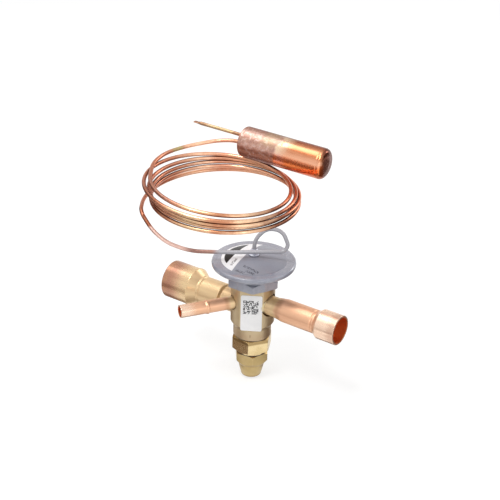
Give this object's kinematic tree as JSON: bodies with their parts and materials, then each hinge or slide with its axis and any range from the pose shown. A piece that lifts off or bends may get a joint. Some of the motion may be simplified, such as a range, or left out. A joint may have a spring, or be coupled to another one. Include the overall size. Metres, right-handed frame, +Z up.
{
  "type": "thermostatic expansion valve",
  "caption": "Externally equalised thermostatic expansion valve with solder sockets, a diaphragm element, a coiled capillary and a sensing bulb",
  "frame": {"origin": "centre of the inlet socket's mouth, on the inlet's axis", "axes": "+X leaves the inlet socket; +Z is up along the stem and the diaphragm element; the outlet leaves towards -X"},
  "size_m": [0.1346, 0.0978, 0.1459],
  "materials": {
    "valve_body": "satin brass",
    "inlet_fitting": "copper",
    "outlet_fitting": "copper with a golden heat tint",
    "equalizer_fitting": "copper",
    "element_upper_shell": "grey semi-gloss paint on steel",
    "element_lower_shell": "grey semi-gloss paint on steel",
    "element_gasket": "copper",
    "diaphragm": "thin rolled stainless steel",
    "buffer_plate": "turned steel",
    "port_insert": "ground stainless steel",
    "valve_pin": "ground stainless steel",
    "pin_carrier": "turned brass",
    "superheat_spring": "spring steel",
    "spring_guide": "turned brass",
    "bottom_housing": "turned brass",
    "housing_gasket": "copper",
    "adjusting_stem": "turned stainless steel",
    "stem_packing": "black rubber",
    "packing_gland": "turned brass",
    "cap_gasket": "copper",
    "seal_cap": "turned brass",
    "capillary_ferrule": "grey paint on steel",
    "capillary_tube": "drawn copper",
    "bulb_shell": "drawn copper with heat tint",
    "bulb_end_plug": "copper",
    "charging_tube": "drawn copper",
    "body_label": "white printed film",
    "dome_label": "printed film",
    "push_rod_a": "ground stainless steel",
    "push_rod_b": "ground stainless steel",
    "rod_seal_a": "black rubber",
    "rod_seal_b": "black rubber"
  },
  "bodies": {
    "valve": {"valve_body": "valve_body", "inlet_fitting": "inlet_fitting", "outlet_fitting": "outlet_fitting", "equalizer_fitting": "equalizer_fitting", "element_upper_shell": "element_upper_shell", "element_lower_shell": "element_lower_shell", "element_gasket": "element_gasket", "diaphragm": "diaphragm", "port_insert": "port_insert", "superheat_spring": "superheat_spring", "bottom_housing": "bottom_housing", "housing_gasket": "housing_gasket", "stem_packing": "stem_packing", "packing_gland": "packing_gland", "capillary_ferrule": "capillary_ferrule", "capillary_tube": "capillary_tube", "bulb_shell": "bulb_shell", "bulb_end_plug": "bulb_end_plug", "charging_tube": "charging_tube", "body_label": "body_label", "dome_label": "dome_label", "rod_seal_a": "rod_seal_a", "rod_seal_b": "rod_seal_b"},
    "needle": {"buffer_plate": "buffer_plate", "push_rod_a": "push_rod_a", "push_rod_b": "push_rod_b", "pin_carrier": "pin_carrier", "valve_pin": "valve_pin"},
    "guide": {"spring_guide": "spring_guide"},
    "stem": {"adjusting_stem": "adjusting_stem"},
    "cap_washer": {"cap_gasket": "cap_gasket"},
    "cap": {"seal_cap": "seal_cap"}
  },
  "joints": [
    {"name": "needle_lift", "type": "slide", "parent": "valve", "child": "needle", "axis": [0, 0, -1], "range_m": [0, 0.0008], "stiffness_N_per_m": 300, "springref_m": -0.005, "deforming": ["superheat_spring"]},
    {"name": "stem_turn", "type": "hinge", "parent": "valve", "child": "stem", "pos_m": [-0.062, 0, 0], "axis": [0, 0, 1], "range_deg": [-630, 900]},
    {"name": "guide_travel", "type": "slide", "parent": "valve", "child": "guide", "axis": [0, 0, 1], "range_m": [-0.0014, 0.002], "deforming": ["superheat_spring"]},
    {"name": "cap_turn", "type": "hinge", "parent": "cap_washer", "child": "cap", "pos_m": [-0.062, 0, 0], "axis": [0, 0, -1], "range_deg": [0, 1440]},
    {"name": "cap_travel", "type": "slide", "parent": "valve", "child": "cap_washer", "axis": [0, 0, -1], "range_m": [0, 0.006]}
  ],
  "couplings": [
    {"joint": "stem_turn", "follows": "guide_travel", "rad_per_m": 7854},
    {"joint": "cap_travel", "follows": "cap_turn", "m_per_rad": 0.00023873}
  ]
}
